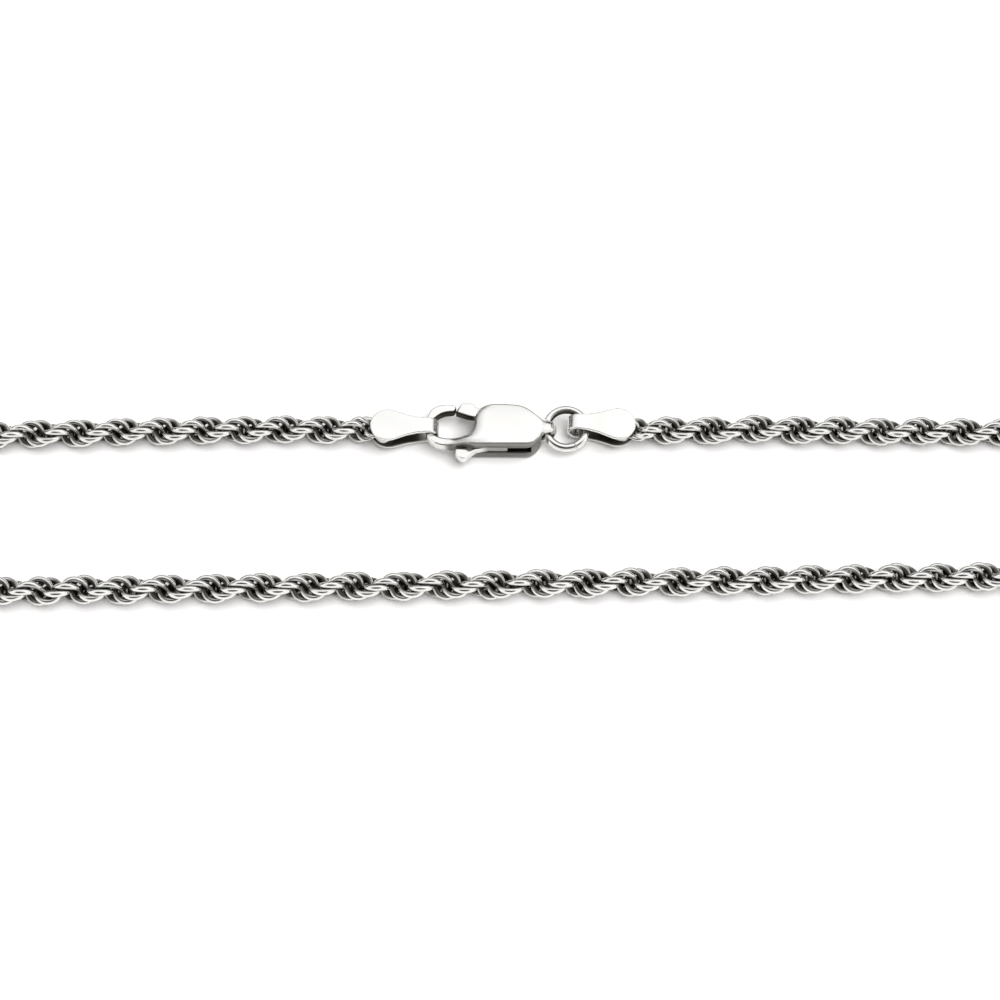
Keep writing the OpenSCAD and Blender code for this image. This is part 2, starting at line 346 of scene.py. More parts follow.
# Rings that stand nearly edge-on in the photograph: x, and degrees past edge-on
EDGE_ON_LEFT = [
    (-46.9, 2), (-42.7, 3), (-38.65, 1), (-34.5, 5), (-30.45, 4), (-26.3, 15), (-23.15, -14),
    (-19.1, -5), (-15, -4),
]
EDGE_ON_RIGHT = [
    (14.55, 9), (18.25, 12), (22.95, 18), (26.85, 9), (30.75, -4), (34.5, -2), (39.1, 23),
    (42.9, 21), (46.8, 6),
]
EDGE_ON_FRONT = [
    (-44.05, -1), (-39.9, 16), (-36.7, -7), (-32.75, -2), (-28.6, -1), (-23.7, 21), (-19.6, 15),
    (-15.5, 6.5), (-11.35, -2.5), (-6.45, 16.5), (-2.5, 7), (1.8, 4), (5.65, -4.5), (10.5, 12),
    (14.35, 1), (19.2, 20.5), (22.95, 12), (26.85, 5.5), (30.5, -3), (35.2, 21), (38.9, 13), (42.6, 8),
]


def run_at(line, run, x, back):
    """Length along the route where it passes x, on its back or its front stretch."""
    stretch = np.flatnonzero((line[:, 1] > 0) == back)
    stretch = stretch[np.argsort(line[stretch, 0])]
    return np.interp(x, line[stretch, 0], run[stretch])


def edge_on_marks(line, run):
    """Groups of (length along the route, turn) for the rings that stand edge-on."""
    lean = math.radians(VIEW_ELEVATION)
    camera_y = VIEW_TARGET[1] - VIEW_DISTANCE * math.cos(lean)
    camera_z = VIEW_DISTANCE * math.sin(lean)
    groups = []
    for table, back in ((EDGE_ON_LEFT, True), (EDGE_ON_FRONT, False), (EDGE_ON_RIGHT, True)):
        marks = []
        for x, past in table:
            length = run_at(line, run, x, back)
            y = np.interp(length, run, line[:, 1])
            seen_from = math.degrees(math.atan2(y - camera_y, camera_z - CHAIN_D / 2))
            marks.append((length, (seen_from - past) * (1 if back else -1)))
        groups.append(sorted(marks))
    return groups


def ring_places(line, run):
    """Length along the route and turn of every ring, from one tag to the other."""
    knots = []
    for group in edge_on_marks(line, run):
        for length, turn in group:
            if not knots:
                knots.append((0, length, turn))
                continue
            count, before, turned = knots[-1]
            about = (length - before) / RING_STEP
            gain = turn - turned
            gain += 180 * round((about * RING_TURN - gain) / 180)
            rings = round((about + gain / RING_TURN) / 2)
            knots.append((count + rings, length, turned + gain))
    first, last = knots[0], knots[-1]
    start = -int(first[1] / RING_STEP)
    end = last[0] + int((run[-1] - last[1]) / RING_STEP)
    knots.insert(0, (start, first[1] + start * RING_STEP, first[2] + start * RING_TURN))
    knots.append((end, last[1] + (end - last[0]) * RING_STEP, last[2] + (end - last[0]) * RING_TURN))
    steps = np.arange(start, end + 1)
    counts, lengths, turns = np.array(knots).T
    return np.interp(steps, counts, lengths), np.interp(steps, counts, turns)


def ring_shape():
    """Angles of a ring's grid of points: round the ring, and round its wire."""
    a = np.linspace(0, 2 * np.pi, RING_SEGMENTS, endpoint=False)
    b = np.linspace(0, 2 * np.pi, WIRE_SEGMENTS, endpoint=False)
    a, b = np.meshgrid(a, b, indexing="ij")
    return a.ravel(), b.ravel()


def ring_faces():
    i, j = np.meshgrid(np.arange(RING_SEGMENTS), np.arange(WIRE_SEGMENTS), indexing="ij")
    i, j = i.ravel(), j.ravel()
    here, over = i * WIRE_SEGMENTS, (i + 1) % RING_SEGMENTS * WIRE_SEGMENTS
    up = (j + 1) % WIRE_SEGMENTS
    return np.stack([here + j, over + j, over + up, here + up], axis=1)


def ring_points(turn, rng):
    """A ring in the chain's own frame: along it, across it to the left, and up."""
    a, b = ring_shape()
    jitter = rng.normal(size=6)
    turn = math.radians(turn + SPREAD_TURN * jitter[0])
    out = np.array([0, math.sin(turn), math.cos(turn)])
    side = np.array([SPREAD_LEAN * jitter[1], math.cos(turn), -math.sin(turn)])
    along = np.array([1.0, 0, 0])
    size = 1 + SPREAD_SIZE * jitter[2]
    radius = RING_R + WIRE_R * size * np.cos(b)
    centre = (RING_OUT + SPREAD_OUT * jitter[4]) * out + (RING_ASIDE + SPREAD_ASIDE * jitter[5]) * side
    centre = centre + SPREAD_ALONG * jitter[3] * along
    return (centre + np.outer(radius * np.sin(a), out) + np.outer(radius * np.cos(a), along)
            + np.outer(WIRE_SIDE_R * size * np.sin(b), side))


def ring_shade_and_tarnish(points):
    """Painted shade and tarnish on each point of a ring: on its inner face, its flanks and its core, where
    the rings shade each other.
    """
    _, b = ring_shape()
    outward = np.cos(b)
    from_middle = np.hypot(points[:, 1], points[:, 2])
    inner = smoothstep(0.0, 0.6, -outward)
    flank = (1 - smoothstep(0.85, 1.42, from_middle)) * (1 - smoothstep(0.15, 0.85, outward))
    core = 1 - smoothstep(0.15, 0.5, from_middle)
    return 0.99 * np.maximum(np.maximum(inner, flank), core)


def point_at(spot, line, run):
    return np.stack([np.interp(spot, run, line[:, 0]), np.interp(spot, run, line[:, 1])], axis=1)


def lay_on_route(points, length, line, run):
    """Moves ring points from the chain's own frame onto the route, pressed flat at the tags."""
    spot = length + points[:, 0]
    x, y = point_at(spot, line, run).T
    along = unit(point_at(spot + HEADING_REACH, line, run) - point_at(spot - HEADING_REACH, line, run))
    from_end = np.minimum(spot, run[-1] - spot)
    squeeze = PRESSED_HEIGHT + (1 - PRESSED_HEIGHT) * smoothstep(2.5, 3.8, from_end)
    narrow = PRESSED_WIDTH + (1 - PRESSED_WIDTH) * smoothstep(2.0, 3.4, from_end)
    # The pressed end lies midway between the leaves, of which the lower one rises
    lift = TAG_CLOSE / 2 * (1 - smoothstep(2.2, 4.2, from_end))
    across = points[:, 1] * narrow
    return np.stack([x - along[:, 1] * across, y + along[:, 0] * across,
                     CHAIN_D / 2 + lift + points[:, 2] * squeeze], axis=1)


def make_links(name, rings, ring_shades_and_tarnish):
    """Joined mesh of the rings of one part of the chain."""
    faces = ring_faces()
    quads = np.vstack([faces + n * RING_SEGMENTS * WIRE_SEGMENTS for n in range(len(rings))])
    piece = new_object(name, np.vstack(rings), quads)
    # Painted shade and tarnish of the rings, for the material
    add_values(piece, "shade_and_tarnish", np.concatenate(ring_shades_and_tarnish))
    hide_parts("chain")
    finish_piece(piece, "necklace", "chain_silver")


def make_chain():
    line, run = route_line(chain_route())
    lengths, turns = ring_places(line, run)
    rng = np.random.default_rng(SEED)
    clear = RING_R + END_CLEAR
    keep = (lengths > clear) & (lengths < run[-1] - clear)
    rings = []
    # Painted shade and tarnish of every ring's points
    ring_shades_and_tarnish = []
    for length, turn in zip(lengths[keep], turns[keep]):
        shape = ring_points(turn, rng)
        ring_shades_and_tarnish.append(ring_shade_and_tarnish(shape))
        rings.append(lay_on_route(shape, length, line, run))
    names = ("chain_links_left", "chain_links_front", "chain_links_right")
    for name, part in zip(names, np.array_split(np.arange(len(rings)), len(names))):
        make_links(name, [rings[i] for i in part], [ring_shades_and_tarnish[i] for i in part])
    print("chain:", len(rings), "rings,", round(run[-1], 1), "mm of route")


# Clasp

# Cell size of the grids that hold the distance fields
BODY_CELL = 0.055
LEVER_CELL = 0.045
# Roundings of edges, and fillets where two forms meet
BODY_ROUND = 0.28
HOOK_ROUND = 0.24
LEVER_ROUND = 0.14
TAIL_ROUND = 0.35
NECK_ROUND = 0.2
SLOT_ROUND = 0.1
HOLE_ROUND = 0.12
HOOK_FILLET = 0.15
TAIL_FILLET = 0.5
# How much lower the plates are where they end in the tail
NOSE_FALL = 0.42
# Groove under the upper plate: its half height, its depth, and where it starts and ends
GROOVE_HALF = 0.08
GROOVE_DEPTH = 0.2
GROOVE_LEFT = -2.0
GROOVE_BACK = 0.4
# Height of the waves in a hand-finished surface
WAVES = 0.012

# Edge of the hook towards its opening, from the lower arm round to the tip
HOOK_INNER = [
    (-4.6, -1.2), (-5.22, -1.16), (-5.7, -1.06), (-6.2, -0.86), (-6.45, -0.6), (ARM_INNER, -0.25),
    (ARM_INNER, 0.5), (-6.4, 0.85), (-6.05, 1.2), (-5.69, 1.46), (-5.26, 1.61), (-4.83, 1.67),
]


def body_plan():
    """Outline of the body with the root of the hook's lower arm, which flows into it."""
    front = [(-5.3, -2.06), (-4.3, -2.07), (-3.5, -2.12), (-2.9, -2.3), (-2.3, -2.37), (2.2, -2.38)]
    nose = [(2.66, -2.37), (3.02, -2.27), (3.34, -2.05), (3.6, -1.77), (3.82, -1.43), (4.05, -1.02)]
    nose += [(4.3, -0.74), (4.62, -0.58), (5.0, -0.5), (5.0, 0.2), (4.62, 0.24), (4.3, 0.36)]
    back = [(4.0, 0.57), (3.76, 0.8), (3.33, 1.24), (2.9, 1.6), (2.48, 1.88), (2.05, 2.07)]
    back += [(1.5, 2.17), (0.6, 2.24), (-0.5, 2.27), (-0.96, 2.23), (-1.4, 2.13)]
    left = [(-1.8, 1.96), (-2.12, 1.62), (-2.32, 1.15), (-2.42, 0.55), (-2.46, -0.05), (-2.58, -0.52)]
    left += [(-2.82, -0.88), (-3.2, -1.06), (-3.8, -1.13), (-4.5, -1.17), (-5.3, -1.17)]
    return front + nose + back + left


def hook_plan():
    tip = [(-4.5, 1.7), (-4.33, 1.92), (-4.2, 2.18), (-4.33, 2.46)]
    outer = [(-4.6, 2.57), (-5.1, 2.61), (-5.75, 2.56), (-6.35, 2.32), (-6.78, 1.9), (-7.05, 1.3)]
    outer += [(-7.2, 0.6), (HOOK_LEFT, -0.35), (-7.1, -0.9), (-6.8, -1.38), (-6.3, -1.8), (-5.75, -2.0)]
    outer += [(-5.2, LOWER_ARM_FRONT), (ROOT_RIGHT, LOWER_ARM_FRONT), (ROOT_RIGHT, -1.2)]
    return tip + outer + HOOK_INNER


def slot_plan():
    """Outline of the space between the plates. Its corner at the tail is cut off, as the body's is."""
    back_wall_left = PIVOT[0] + HUB_R + 0.25
    back_wall = BODY_HALF - WALL_THICK
    front, left, back = -BODY_HALF - 0.6, BODY_LEFT - 0.6, BODY_HALF + 0.6
    inside = [(left, front), (SLOT_RIGHT, front), (SLOT_RIGHT, 0.6), (SLOT_RIGHT - 1.1, back_wall)]
    lever_way = [(back_wall_left, back_wall), (back_wall_left, back), (left, back), (left, OPENING_FRONT)]
    arm_root = [(ROOT_RIGHT, OPENING_FRONT), (ROOT_RIGHT, LOWER_ARM_FRONT), (left, LOWER_ARM_FRONT)]
    return inside + lever_way + arm_root


def opening_plan():
    """Outline of the space inside the hook, with the gap between the hook's tip and the lever."""
    gap = [(-4.47, 1.7), (-4.26, 1.92), (-4.13, 2.18), (-4.2, 2.62)]
    gap += [(-3.9, 2.62), (-4.05, 2.2), (-4.25, 1.72)]
    lever = [(-3.97, 1.56), (-3.58, 1.42), (-3.19, 1.28), (-2.3, 0.98)]
    body = [(-2.44, 0.55), (-2.48, -0.05), (-2.6, -0.52), (-2.84, -0.88), (-3.2, -1.06), (-3.8, -1.13)]
    return HOOK_INNER + gap + lever + body


def opening_painted_shade(points):
    """Painted shade on the walls of the space inside the hook."""
    away = outline_distance(points[:, 0], points[:, 1], opening_plan())
    return 1 - smoothstep(0.08, 0.22, away)


def body_shell(flat_x, flat_y, rise, plan):
    """The body as one block. Rise is the distance from its middle height."""
    # The plates fall off to their left and back edges, and stay flat to the front one
    inward = np.clip(-plan / 1.1, 0, 1)
    fall = 0.05 + 0.2 * smoothstep(-0.6, -2.2, flat_x) + 0.1 * smoothstep(0.4, 1.9, flat_y)
    fall = fall * smoothstep(-2.3, -1.2, flat_y)
    # The root of the lower arm starts as low as the hook, and the nose comes down to the tail
    swell = smoothstep(-5.3, -2.5, flat_x)
    half = HOOK_HALF + (MID_Z - HOOK_HALF) * swell - fall * (1 - inward)**2
    half = half - NOSE_FALL * smoothstep(3.8, 4.9, flat_x)
    return slab(plan, rise - half[:, :, None], BODY_ROUND)


def body_groove(x3, y3, z3, plan):
    """Fine groove under the upper plate, round the front and the nose."""
    groove = np.maximum(np.abs(z3 - SLOT_HIGH + 0.03) - GROOVE_HALF, -GROOVE_DEPTH - plan[:, :, None])
    return np.maximum(groove, np.maximum(GROOVE_LEFT - x3, y3 - GROOVE_BACK))


def tail_field(flat_x, flat_y, rise, around):
    """Round end of the tail and its neck. Around is the distance to the axis of the tail's hole."""
    end = trim(around - TAIL_R, np.abs(flat_y)[:, :, None] - TAIL_HALF, TAIL_ROUND)
    neck_left = BODY_RIGHT - 0.9
    corners = [(neck_left, -TAIL_HALF), (TAIL_X, -TAIL_HALF), (TAIL_X, TAIL_HALF), (neck_left, TAIL_HALF)]
    neck = slab(outline_distance(flat_x, flat_y, corners), rise - TAIL_R, NECK_ROUND)
    return melt(end, neck, 0.3)


def body_shade_and_tarnish(flat_x, flat_y, rise, plan, shell):
    """Painted shade on the body, from 0 to 1: on its walls and the plates' left and front edges, and with
    tarnish between its plates.
    """
    # Painted shade on the walls, less on the back one than on the front one, up to the plates' rounded
    # edges
    shade = 0.82 - 0.4 * smoothstep(-0.8, 0.8, flat_y)
    walls = (shade * smoothstep(-0.16, -0.05, plan))[:, :, None] * (1 - smoothstep(1.0, 1.3, rise))
    # Painted shade along the faces' left and front edges
    left_edge = 0.3 * smoothstep(-1.0, -0.1, plan) * smoothstep(-0.4, -2.2, flat_x)
    front_edge = 0.7 * smoothstep(-0.24, -0.1, plan) * smoothstep(-1.2, -1.9, flat_y)
    shade_and_tarnish = np.maximum(walls, np.maximum(left_edge, front_edge)[:, :, None])
    # None of it on the hook and the tail, but for the lower arm's front
    start = -2.4 - 2.4 * smoothstep(-1.5, -1.9, flat_y)
    shade_and_tarnish = shade_and_tarnish * smoothstep(start - 0.8, start, flat_x)[:, :, None]
    shade_and_tarnish = shade_and_tarnish * smoothstep(4.2, 3.8, flat_x)[:, :, None]
    # Painted shade and tarnish in the space between the plates
    between = np.clip(-shell / 0.22, 0, 1) * (rise < 0.62)
    return np.maximum(shade_and_tarnish, between * smoothstep(-3.0, -2.2, flat_x)[:, :, None])


def clasp_body_field(x, y, z):
    """Distance field of the body with its hook and tail, and its painted shade and tarnish."""
    flat_x, flat_y = x[:, None], y[None, :]
    x3, y3, z3 = x[:, None, None], y[None, :, None], z[None, None, :]
    plan = soften(outline_distance(flat_x, flat_y, body_plan()), 5)
    hook = soften(outline_distance(flat_x, flat_y, hook_plan()), 3)
    slot = soften(outline_distance(flat_x, flat_y, slot_plan()), 1)
    rise = np.abs(z3 - MID_Z)
    shell = body_shell(flat_x, flat_y, rise, plan)
    whole = trim(shell, -slab(slot, rise - SLOT_HALF, 0.03), SLOT_ROUND)
    whole = melt(whole, slab(hook, rise - HOOK_HALF, HOOK_ROUND), HOOK_FILLET)
    whole = np.maximum(whole, -body_groove(x3, y3, z3, plan))
    around = np.hypot(x3 - TAIL_X, z3 - MID_Z)
    whole = melt(whole, tail_field(flat_x, flat_y, rise, around), TAIL_FILLET)
    whole = trim(whole, np.broadcast_to(TAIL_HOLE_R - around, whole.shape), HOLE_ROUND)
    # The pin sits in blind holes above and below the slot
    pin = np.maximum(np.hypot(x3 - PIVOT[0], y3 - PIVOT[1]) - PIN_HOLE_R, rise - SLOT_HALF - PIN_HOLE_DEPTH)
    whole = np.maximum(whole, -pin)
    shade_and_tarnish = body_shade_and_tarnish(flat_x, flat_y, rise, plan, shell)
    return whole + unevenness(x3, y3, z3, WAVES, SEED), shade_and_tarnish


def sample(field, points, low, step):
    """Values of a grid field at the cells that hold the points."""
    at = np.clip(np.round((points - low) / step).astype(int), 0, np.array(field.shape) - 1)
    return field[tuple(at.T)]


def make_clasp_body():
    low, high = np.array([-7.5, -2.7, -0.2]), np.array([5.8, 2.8, 3.1])
    x, y, z = grid(low, high, BODY_CELL)
    whole, shade_and_tarnish = clasp_body_field(x, y, z)
    points, quads = skin(whole, low, BODY_CELL)
    shade_and_tarnish = sample(shade_and_tarnish, points, low, BODY_CELL)
    piece = new_object("clasp_body_cast", points + [0, CLASP_Y, 0], quads)
    # Painted shade and tarnish of the body, and painted shade on the walls inside the hook
    add_values(piece, "shade_and_tarnish", np.maximum(shade_and_tarnish, opening_painted_shade(points)))
    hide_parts("clasp_body")
    finish_piece(piece, "necklace", "clasp_silver")


def lever_plan():
    """Outline of the lever: gate, web, thumb tab, front, side of the hub and top of the gate."""
    web_left, web_right, lever_front = ROOT_RIGHT + 0.2, PIVOT[0] + 1.75, 0.1 - BODY_HALF
    gate = [(-4.32, 1.66), (-3.97, 1.56), (-3.58, 1.42), (-3.19, 1.28), (PIVOT[0] - 0.85, PIVOT[1] - 0.35)]
    web = [(PIVOT[0] - 0.55, 0), (web_left + 0.3, -1.2), (web_left, TAB_ROOT)]
    tab = [(-4.28, TAB_ROOT - 0.1), (-4.28, -2.9), (-3.97, -3.25), (-3.7, TAB_TIP + 0.06), (-3.53, TAB_TIP)]
    tab += [(-3.33, TAB_TIP + 0.1), (-2.95, -2.98)]
    tab += [(ROOT_RIGHT - 0.1, -BODY_HALF - 0.12), (web_left + 0.3, -BODY_HALF)]
    front = [(web_left + 0.8, lever_front), (web_right, lever_front), (web_right - 0.1, -1.4)]
    hub = [(PIVOT[0] + HUB_R, PIVOT[1] - 0.4), PIVOT, (PIVOT[0] - 0.3, PIVOT[1] + HUB_R - 0.06)]
    top = [(-2.3, 2.25), (-2.52, 2.64), (-3.1, 2.79), (-3.56, 2.8), (-3.76, 2.66)]
    return gate + web + tab + front + hub + top


def make_clasp_lever():
    low, high = np.array([-4.6, -3.7, 0.8]), np.array([1.1, 3.1, 2.1])
    x, y, z = grid(low, high, LEVER_CELL)
    flat_x, flat_y = x[:, None], y[None, :]
    from_pivot = np.hypot(flat_x - PIVOT[0], flat_y - PIVOT[1])
    plan = np.minimum(outline_distance(flat_x, flat_y, lever_plan()), from_pivot - HUB_R)
    plan = np.maximum(soften(plan, 2), LEVER_BORE_R - from_pivot)
    field = slab(plan, np.abs(z[None, None, :] - MID_Z) - LEVER_THICK / 2, LEVER_ROUND)
    points, quads = skin(field, low, LEVER_CELL)
    piece = new_object("clasp_lever_cast", points + [0, CLASP_Y, 0], quads)
    # Painted shade on the part that stays between the body's plates, and on the walls inside the hook
    plate = outline_distance(points[:, 0], points[:, 1], body_plan())
    between = 0.6 * smoothstep(0.0, 0.2, -plate)
    add_values(piece, "shade_and_tarnish", np.maximum(between, opening_painted_shade(points)))
    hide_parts("clasp_lever")
    finish_piece(piece, "lever", "lever_silver")


# End tags

TAG_CELL = 0.05
TAG_ROUND = 0.14
# Solder: the middle of its round form along the tag, its radii, and the gap to each leaf
SOLDER_X = 4.15
SOLDER_R_ALONG = 1.05
SOLDER_R_ACROSS = 1.32
SOLDER_GAP = 0.02
SOLDER_ROUND = 0.3
# The solder's surface is rougher: its waves are higher, and closer together by this factor
SOLDER_WAVES = 0.16
SOLDER_WAVES_CLOSER = 4


def tag_plan():
    """Outline of a leaf, in the tag's own frame: its fold is at the origin."""
    end_x = TAG_REACH - TAG_END_R
    waist = (TAG_WAIST_AT * TAG_REACH, TAG_WAIST_HALF)
    flank = [(-FOLD_R - 0.2, TAG_NECK_HALF), (0, TAG_NECK_HALF)]
    flank += [(0.5 * waist[0], TAG_NECK_HALF + 0.08), waist]
    reach = math.hypot(end_x - waist[0], waist[1])
    touch = 180 - math.degrees(math.atan2(waist[1], end_x - waist[0]) + math.acos(TAG_END_R / reach))
    upper = flank + arc((end_x, 0), TAG_END_R, touch, 0, 14)
    return upper + [(x, -y) for x, y in upper[-2::-1]]


def leaf_height(x, z):
    """Height in a tag where the lower leaf rises towards the round end, as if both were level."""
    middle = TAG_CLOSE / 2 * smoothstep(0.8, 4.2, x)
    return np.abs(z - middle) + middle


def from_fold(x, z):
    """Distance out from the middle of the fold, and from between the leaves in front of it."""
    return np.where(x < 0, np.hypot(x, z), leaf_height(x, z))


def tag_to_world(points, fold, turn):
    """From a tag's own frame, with its fold at the origin, to where the tag lies."""
    angle = math.radians(turn)
    return np.stack([
        fold[0] + points[:, 0] * math.cos(angle) - points[:, 1] * math.sin(angle),
        fold[1] + points[:, 0] * math.sin(angle) + points[:, 1] * math.cos(angle),
        MID_Z + points[:, 2],
    ], axis=1)


def make_end_tag(name, node, fold, turn):
    low, high = np.array([-1.3, -1.95, -1.3]), np.array([5.8, 1.95, 1.3])
    x, y, z = grid(low, high, TAG_CELL)
    x3, y3, z3 = x[:, None, None], y[None, :, None], z[None, None, :]
    plan = soften(outline_distance(x[:, None], y[None, :], tag_plan()), 4)
    middle = FOLD_R - TAG_SHEET / 2
    sheet = np.abs(from_fold(x3, z3) + 0 * y3 - middle) - TAG_SHEET / 2
    field = trim(sheet, plan[:, :, None], TAG_ROUND) + unevenness(x3, y3, z3, WAVES, SEED + len(name))
    points, quads = skin(field, low, TAG_CELL)
    # Painted shade between the leaves
    out = from_fold(points[:, 0], points[:, 2])
    inner = smoothstep(middle, FOLD_R - TAG_SHEET - 0.01, out) * smoothstep(-0.4, 1.2, points[:, 0])
    piece = new_object(name, tag_to_world(points, fold, turn), quads)
    add_values(piece, "shade_and_tarnish", inner)
    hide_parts(node)
    finish_piece(piece, "necklace", "tag_silver")


def make_solder(name, fold, turn):
    """Solder that holds the chain's pressed end between a tag's leaves."""
    low, high = np.array([2.9, -1.7, -0.85]), np.array([5.6, 1.7, 0.85])
    x, y, z = grid(low, high, BODY_CELL)
    x3, y3 = x[:, None, None], y[None, :, None]
    z3 = z[None, None, :] - TAG_CLOSE / 2
    seat = FOLD_R - TAG_SHEET - TAG_CLOSE / 2 - SOLDER_GAP
    round_end = np.hypot((x3 - SOLDER_X) / SOLDER_R_ALONG, y3 / SOLDER_R_ACROSS) - 1
    field = trim(round_end, np.abs(z3) - seat, SOLDER_ROUND)
    waves = [SOLDER_WAVES_CLOSER * way for way in (x3, y3, z3)]
    field = field + unevenness(*waves, SOLDER_WAVES, SEED + 1)
    field = np.maximum(field, np.abs(z3) - seat)
    points, quads = skin(field, low, BODY_CELL)
    piece = new_object(name, tag_to_world(points, fold, turn), quads)
    add_values(piece, "shade_and_tarnish", np.full(len(points), 0.25))
    finish_piece(piece, "necklace", "chain_silver", "solder_silver")


# Materials

SILVER = (0.93, 0.925, 0.905)
WARM_SILVER = (0.9, 0.89, 0.86)
# Near-black colour of the tarnish spots and of the painted shade
TARNISH_AND_SHADE = (0.034, 0.03, 0.021)
# Share of tarnish in the middle of scattered spots, and how much rougher the tarnish and the painted shade
# are than metal
SPOT_TARNISH = 0.18
TARNISH_AND_SHADE_DULL = 0.22
# How much rougher the fine marks are than the metal between them
MARKS_DULL = 0.06
# Height of the fine marks, in metres
MARKS_HEIGHT = 0.00002
# Painted shade on the jump ring's inner side: where it starts and is whole, inwards from the ring's middle
# line
JUMP_RING_INNER_SHADE = (0.12, 0.33)


def node_of(tree, kind, **inputs):
    node = tree.nodes.new(kind)
    for key, value in inputs.items():
        node.inputs[key.replace("_", " ")].default_value = value
    return node


def noise_at(tree, coords, scale, detail=3.0, stretch=(1, 1, 1)):
    """Noise whose features are about 1 / scale metres across."""
    mapping = node_of(tree, "ShaderNodeMapping")
    mapping.inputs["Scale"].default_value = stretch
    tree.links.new(coords, mapping.inputs["Vector"])
    noise = node_of(tree, "ShaderNodeTexNoise", Scale=scale, Detail=detail)
    tree.links.new(mapping.outputs["Vector"], noise.inputs["Vector"])
    return noise.outputs["Fac"]


def ramp(tree, value, low, high, out_low=0.0, out_high=1.0):
    node = node_of(tree, "ShaderNodeMapRange")
    for key, number in (("From Min", low), ("From Max", high), ("To Min", out_low), ("To Max", out_high)):
        node.inputs[key].default_value = number
    tree.links.new(value, node.inputs["Value"])
    return node.outputs["Result"]


def combine(tree, kind, a, b):
    node = tree.nodes.new("ShaderNodeMath")
    node.operation = kind
    node.use_clamp = True
    tree.links.new(a, node.inputs[0])
    tree.links.new(b, node.inputs[1])
    return node.outputs[0]


def jump_ring_inner_shade(tree, coords):
    """Painted shade: 1 on the jump ring's inner side, 0 on the rest of it and on all that lies outside it.
    """
    flat = node_of(tree, "ShaderNodeMapping")
    flat.inputs["Scale"].default_value = (1, 1, 0)
    tree.links.new(coords, flat.inputs["Vector"])
    middle = (JUMP_RING_MIDDLE[0] * MM, JUMP_RING_MIDDLE[1] * MM, 0)
    away = vector_math(tree, "DISTANCE", flat.outputs["Vector"], middle).outputs["Value"]
    start, whole = [(JUMP_RING_R - inwards) * MM for inwards in JUMP_RING_INNER_SHADE]
    return ramp(tree, away, whole, start, 1.0, 0.0)


def tarnish_and_shade_share(tree, coords, patches, wear, shade_and_tarnish):
    """Share of the dark colour: tarnish in scattered spots, plus the painted shade and tarnish that the
    mesh carries; on the jump ring, painted shade on its inner side.
    """
    spots = noise_at(tree, coords, wear * 5, 5.0)
    dark_share = ramp(tree, spots, 0.66, 0.85, 0.0, SPOT_TARNISH)
    if shade_and_tarnish:
        # Painted shade and tarnish that the mesh carries
        layer = tree.nodes.new("ShaderNodeAttribute")
        layer.attribute_name = "shade_and_tarnish"
        shade_and_tarnish_part = layer.outputs["Fac"]
    else:
        # On the jump ring, painted shade on its inner side
        shade_and_tarnish_part = jump_ring_inner_shade(tree, coords)
    shade_and_tarnish_part = combine(tree, "MULTIPLY", shade_and_tarnish_part, ramp(tree, patches, 0.2, 0.6, 0.9, 1.0))
    return combine(tree, "ADD", dark_share, shade_and_tarnish_part)


def metal(name, colour, rough, wear, grain, stretch=(1, 1, 1), shade_and_tarnish=True, bump=0.25):
    """Silver with slow changes of polish, fine marks, tarnish spots, and painted shade and tarnish.

    rough: lowest and highest roughness. wear and grain: the size of slow patches and of fine
    marks, as features a metre. stretch: drawn-out marks, as factors along x, y and z. recess:
    whether the mesh carries its painted shade and tarnish, as the kept CAD nodes don't; these get
    painted shade on the jump ring's inner side.
    """
    material = bpy.data.materials.new(name)
    material.use_nodes = True
    tree = material.node_tree
    shader = tree.nodes["Principled BSDF"]
    shader.inputs["Metallic"].default_value = 1.0
    coords = tree.nodes.new("ShaderNodeTexCoord").outputs["Object"]
    patches = noise_at(tree, coords, wear)
    marks = noise_at(tree, coords, grain, 4.0, stretch)
    # Share of dark colour: tarnish spots, and painted shade and tarnish
    dark_share = tarnish_and_shade_share(tree, coords, patches, wear, shade_and_tarnish)
    mix = tree.nodes.new("ShaderNodeMix")
    mix.data_type = "RGBA"
    mix.inputs["A"].default_value = (*colour, 1)
    mix.inputs["B"].default_value = (*TARNISH_AND_SHADE, 1)
    tree.links.new(dark_share, mix.inputs["Factor"])
    tree.links.new(mix.outputs["Result"], shader.inputs["Base Color"])
    polish = ramp(tree, patches, 0.3, 0.7, rough[0], rough[1])
    fine = ramp(tree, marks, 0.35, 0.75, 0.0, MARKS_DULL)
    dull = ramp(tree, dark_share, 0.0, 1.0, 0.0, TARNISH_AND_SHADE_DULL)
    rough_all = combine(tree, "ADD", combine(tree, "ADD", polish, fine), dull)
    tree.links.new(rough_all, shader.inputs["Roughness"])
    relief = node_of(tree, "ShaderNodeBump", Strength=bump, Distance=MARKS_HEIGHT)
    tree.links.new(marks, relief.inputs["Height"])
    tree.links.new(relief.outputs["Normal"], shader.inputs["Normal"])
    return material


def make_materials():
    looks = {
        "chain_silver": dict(colour=SILVER, rough=(0.08, 0.16), wear=500, grain=9000),
        "tag_silver": dict(colour=SILVER, rough=(0.16, 0.28), wear=300, grain=7000, stretch=(0.3, 1, 1)),
        "clasp_silver": dict(colour=SILVER, rough=(0.14, 0.26), wear=260, grain=6000),
        "lever_silver": dict(colour=SILVER, rough=(0.12, 0.22), wear=300, grain=6000),
        "ring_silver": dict(colour=SILVER, rough=(0.08, 0.15), wear=400, grain=8000, shade_and_tarnish=False),
        "solder_silver": dict(colour=WARM_SILVER, rough=(0.22, 0.4), wear=900, grain=5000, bump=0.6),
        "pin_steel": dict(colour=WARM_SILVER, rough=(0.2, 0.3), wear=600, grain=9000, shade_and_tarnish=False),
    }
    return {name: metal(name, **look) for name, look in looks.items()}


MATERIALS = {}


